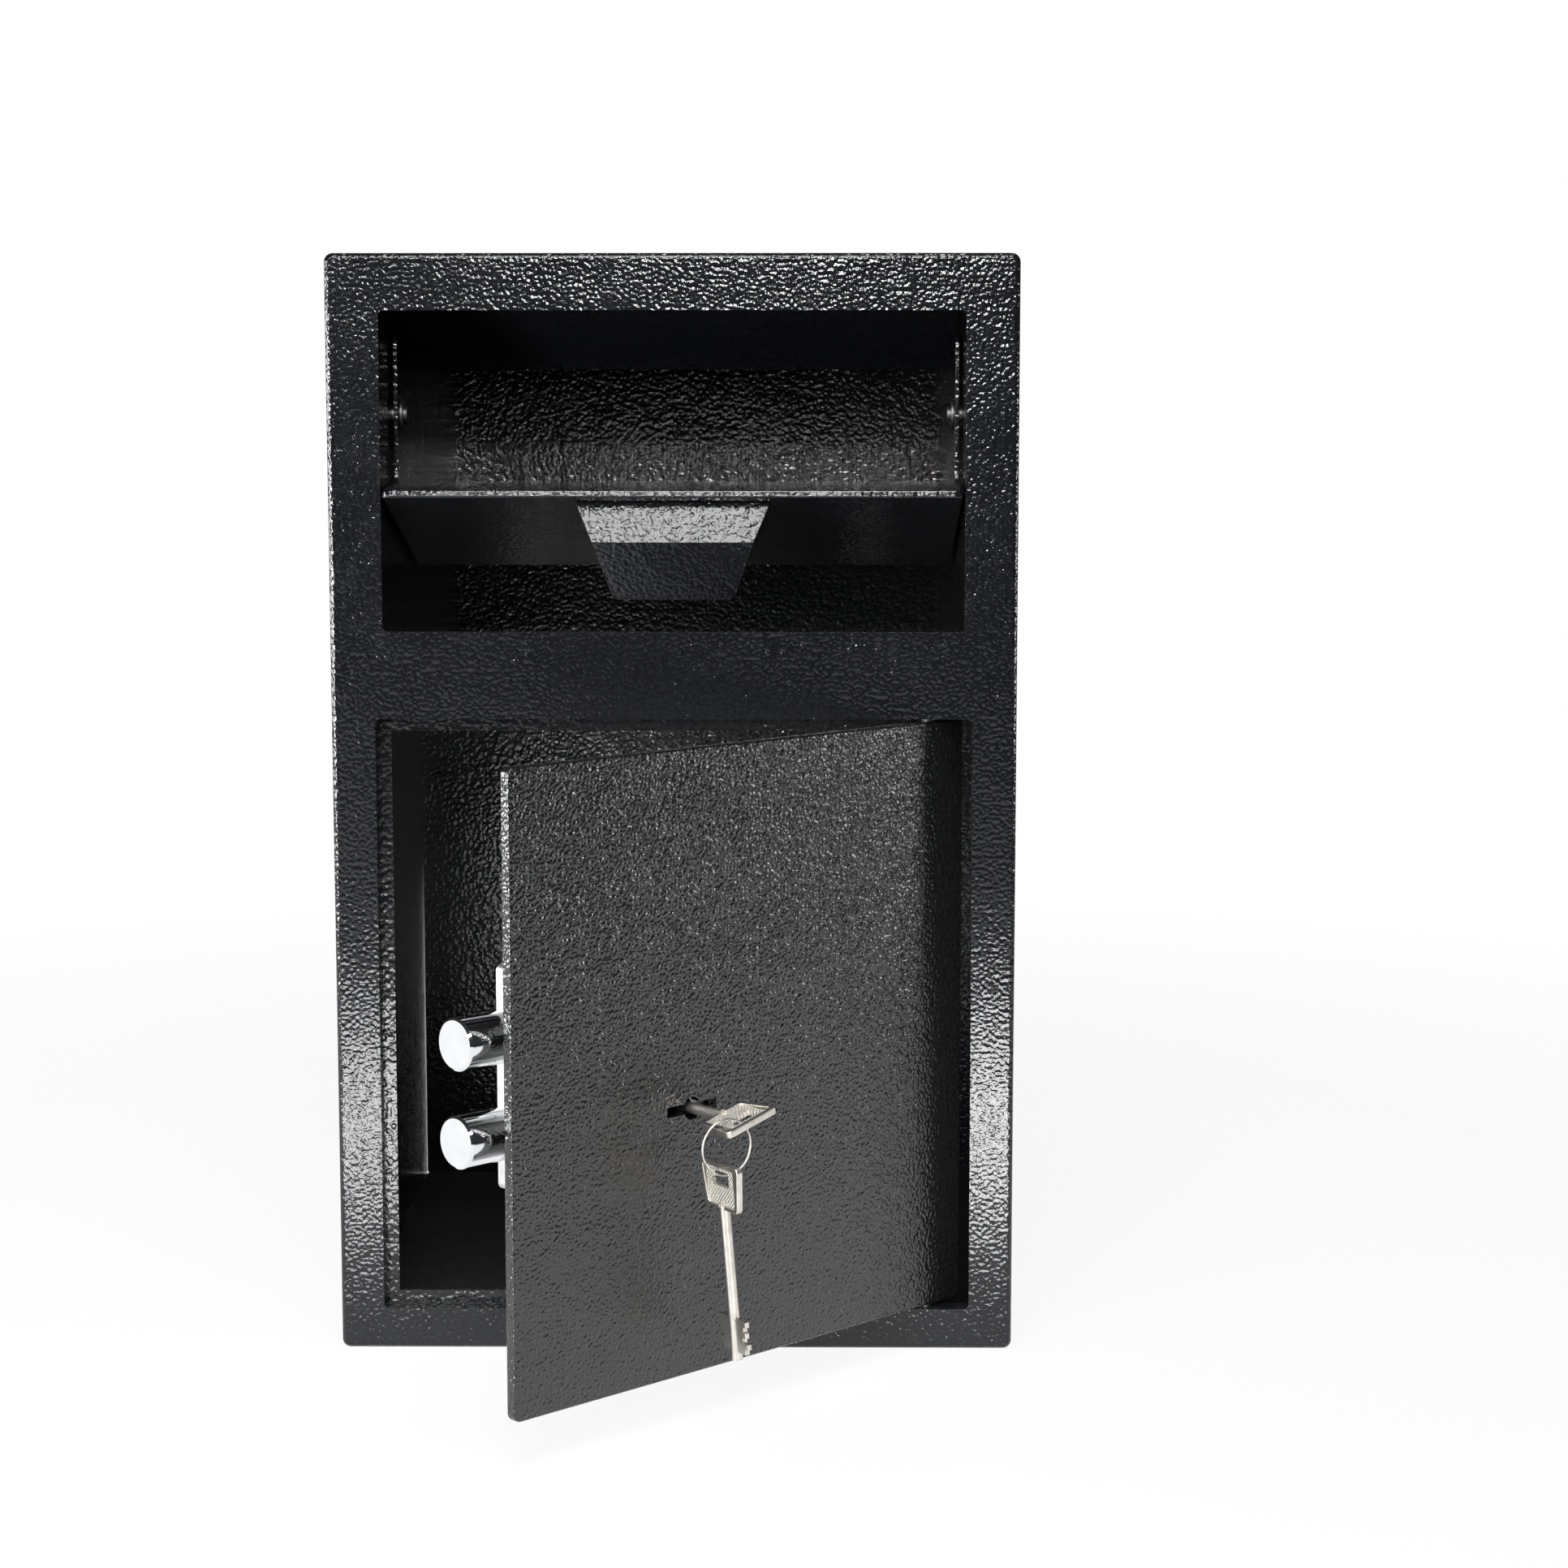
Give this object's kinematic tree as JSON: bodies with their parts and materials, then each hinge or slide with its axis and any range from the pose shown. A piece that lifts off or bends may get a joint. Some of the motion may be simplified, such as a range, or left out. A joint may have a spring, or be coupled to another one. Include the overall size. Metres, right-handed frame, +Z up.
{
  "type": "drop safe with deposit drawer",
  "caption": "Black steel drop safe with a tilting deposit tray behind its upper opening and a key-locked door with round bolts in the lower one.",
  "frame": {"origin": "middle of the underside of the base", "axes": "+Z up, the front with both openings faces -Y, the door's hinge is on the +X side"},
  "size_m": [0.35, 0.5545, 0.566],
  "materials": {
    "black_paint": "satin, fine orange peel",
    "bright_chrome": "polished",
    "zinc_plate": "dull zinc plating",
    "bare_steel": "bright zinc plating",
    "nickel_plate": "nickel plating",
    "dark_carpet": "short needle felt"
  },
  "bodies": {
    "body": {"body_shell": "black_paint", "back_plate": "black_paint", "door_frame": "black_paint", "chamber_side_left": "black_paint", "chamber_side_right": "black_paint", "rear_shelf": "black_paint", "top_guard": "black_paint", "floor_mat": "dark_carpet", "tray_pin_left": "bare_steel", "tray_pin_right": "bare_steel", "pin_clip_left": "bare_steel", "pin_clip_right": "bare_steel"},
    "tray": {"flap_panel": "black_paint", "pull_handle": "black_paint", "tray_plate": "black_paint", "cheek_left": "black_paint", "cheek_right": "black_paint"},
    "door": {"door_panel": "black_paint", "hinge_rod_top": "bare_steel", "hinge_rod_bottom": "bare_steel", "boltwork_cover": "zinc_plate", "lock_case": "zinc_plate", "cover_screw_1": "bright_chrome", "cover_screw_2": "bright_chrome", "cover_screw_3": "bright_chrome", "cover_screw_4": "bright_chrome", "lock_screw_1": "bare_steel", "lock_screw_2": "bare_steel", "lock_screw_3": "bare_steel", "lock_screw_4": "bare_steel", "guide_stud_1": "bare_steel", "guide_stud_2": "bare_steel"},
    "boltwork": {"bolt_bar": "bare_steel", "drive_plate": "bare_steel", "lock_tail": "bare_steel", "bolt_upper": "bright_chrome", "bolt_lower": "bright_chrome"},
    "key": {"lock_key": "nickel_plate"},
    "ring": {"key_ring": "nickel_plate"},
    "spare": {"spare_key": "nickel_plate"}
  },
  "joints": [
    {"name": "tray_tilt", "type": "hinge", "parent": "body", "child": "tray", "pos_m": [0, -0.123, 0.485], "axis": [1, 0, 0], "range_deg": [-74, 0]},
    {"name": "door_swing", "type": "hinge", "parent": "body", "child": "door", "pos_m": [0.13, -0.172, 0], "axis": [0, 0, 1], "range_deg": [-36.5, 65.5]},
    {"name": "key_turn", "type": "hinge", "parent": "door", "child": "key", "pos_m": [0.02698, -0.30828, 0.15475], "axis": [0.7009, -0.7133, 0], "range_deg": [-14.2, 105.8]},
    {"name": "bolt_throw", "type": "slide", "parent": "door", "child": "boltwork", "axis": [0.7133, 0.7009, 0], "range_m": [-0.00284, 0.02116]},
    {"name": "ring_swing", "type": "hinge", "parent": "key", "child": "ring", "pos_m": [0.02832, -0.3252, 0.15199], "axis": [-0.5664, 0.8241, 0], "range_deg": [-10, 10]},
    {"name": "spare_swing", "type": "hinge", "parent": "ring", "child": "spare", "pos_m": [0.02757, -0.32571, 0.13387], "axis": [-0.5664, 0.8241, 0], "range_deg": [-10, 10]}
  ],
  "couplings": [
    {"joint": "key_turn", "follows": "bolt_throw", "rad_per_m": 87.266}
  ]
}
